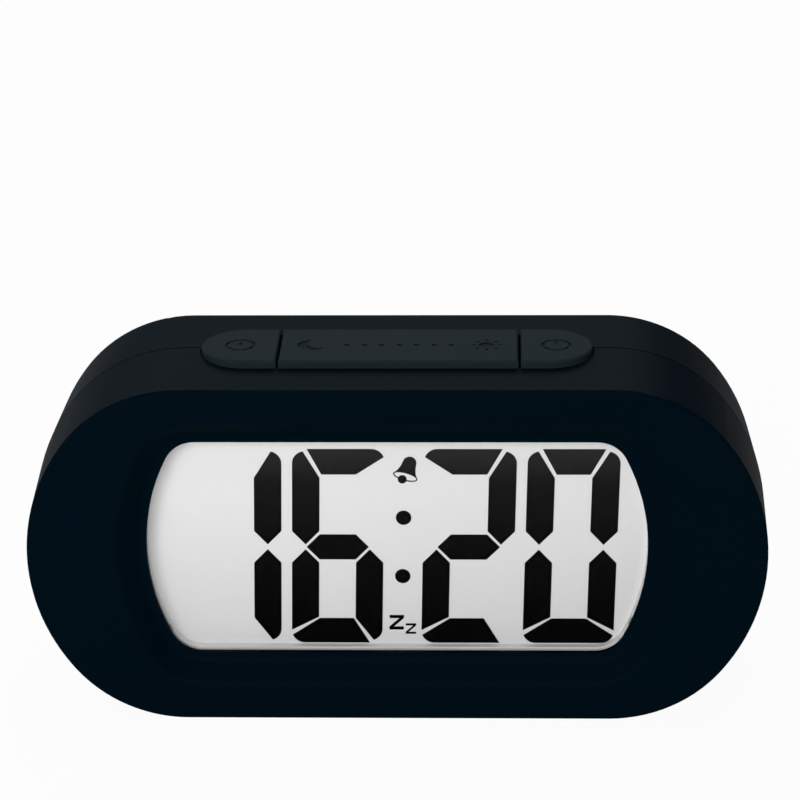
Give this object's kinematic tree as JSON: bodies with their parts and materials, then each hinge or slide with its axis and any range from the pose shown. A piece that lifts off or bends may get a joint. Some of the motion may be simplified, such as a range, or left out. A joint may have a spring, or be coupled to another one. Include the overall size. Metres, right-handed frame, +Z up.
{
  "type": "desk alarm clock",
  "caption": "Round-ended soft-skinned desk alarm clock with a wide digital display in a recessed window, a pill-shaped row of keys on top, and a battery door and slide switches behind.",
  "frame": {"origin": "middle of the base, on the surface that the clock stands on", "axes": "+X to the right seen from the front, along the clock; +Y from the front to the back; +Z up"},
  "size_m": [0.1364, 0.04, 0.0673],
  "materials": {
    "case_skin": "soft-touch skin, near black with a blue cast",
    "key_skin": "soft-touch skin, a little lighter than the case",
    "knob_plastic": "moulded, ribbed",
    "clear_lens": "clear acrylic sheet",
    "pale_plastic": "moulded, satin",
    "display_glass": "glass with a pale polarising film",
    "display_ink": "dark liquid crystal segments",
    "clear_acrylic": "clear acrylic light guide",
    "white_sheet": "white reflecting sheet",
    "lamp_white": "white lamp bodies",
    "strip_rubber": "striped conducting silicone",
    "black_tape": "adhesive tape",
    "board_green": "solder mask over glass-fibre board",
    "black_resin": "drop of black resin",
    "chip_parts": "small ceramic parts",
    "plated_steel": "nickel plated",
    "screw_steel": "zinc plated",
    "switch_black": "moulded switch bodies",
    "plunger_plastic": "moulded plungers",
    "cell_wrap": "plain sleeve over a steel can",
    "buzzer_brass": "thin brass disc",
    "buzzer_white": "silvered ceramic",
    "red_sleeve": "insulated wire",
    "black_sleeve": "insulated wire",
    "grey_ribbon": "flat cable"
  },
  "bodies": {
    "case": {"alarm_switch": "plated_steel", "backlight_lamps": "lamp_white", "black_lead": "black_sleeve", "board_parts": "chip_parts", "board_screws": "screw_steel", "bridge_contact": "plated_steel", "buzzer_ceramic": "buzzer_white", "buzzer_disc": "buzzer_brass", "buzzer_leads": "black_sleeve", "case_screws": "screw_steel", "cells": "cell_wrap", "clock_chip": "black_resin", "contact_strip": "strip_rubber", "control_board": "board_green", "control_ribbon": "grey_ribbon", "control_screws": "screw_steel", "display_frame": "pale_plastic", "display_front_glass": "display_glass", "display_lens": "clear_lens", "display_rear_glass": "display_glass", "display_segments": "display_ink", "display_surround": "pale_plastic", "front_shell": "case_skin", "key_board": "board_green", "key_board_screws": "screw_steel", "key_ribbon": "grey_ribbon", "lens_tape": "black_tape", "light_guide": "clear_acrylic", "main_board": "board_green", "negative_contact": "plated_steel", "positive_contact": "plated_steel", "push_switches": "switch_black", "quartz_crystal": "plated_steel", "rear_shell": "case_skin", "red_lead": "red_sleeve", "reflector_sheet": "white_sheet", "set_switch": "plated_steel"},
    "hour_key": {"hour_key": "key_skin", "hour_plunger": "plunger_plastic"},
    "snooze_key": {"snooze_key": "key_skin", "snooze_plunger": "plunger_plastic"},
    "minute_key": {"minute_key": "key_skin", "minute_plunger": "plunger_plastic"},
    "battery_door": {"battery_door": "case_skin"},
    "set_knob": {"set_knob": "knob_plastic"},
    "alarm_knob": {"alarm_knob": "knob_plastic"}
  },
  "joints": [
    {"name": "hour_key_press", "type": "slide", "parent": "case", "child": "hour_key", "axis": [0, 0, -1], "range_m": [0, 0.0008], "stiffness_N_per_m": 800, "springref_m": -0.0005},
    {"name": "snooze_key_press", "type": "slide", "parent": "case", "child": "snooze_key", "axis": [0, 0, -1], "range_m": [0, 0.0008], "stiffness_N_per_m": 800, "springref_m": -0.0005},
    {"name": "minute_key_press", "type": "slide", "parent": "case", "child": "minute_key", "axis": [0, 0, -1], "range_m": [0, 0.0008], "stiffness_N_per_m": 800, "springref_m": -0.0005},
    {"name": "battery_door_swing", "type": "hinge", "parent": "case", "child": "battery_door", "pos_m": [0, 0.02, 0.0193], "axis": [-1, 0, 0], "range_deg": [0, 70]},
    {"name": "set_knob_slide", "type": "slide", "parent": "case", "child": "set_knob", "axis": [1, 0, 0], "range_m": [-0.003, 0.003]},
    {"name": "alarm_knob_slide", "type": "slide", "parent": "case", "child": "alarm_knob", "axis": [1, 0, 0], "range_m": [0, 0.003]}
  ]
}
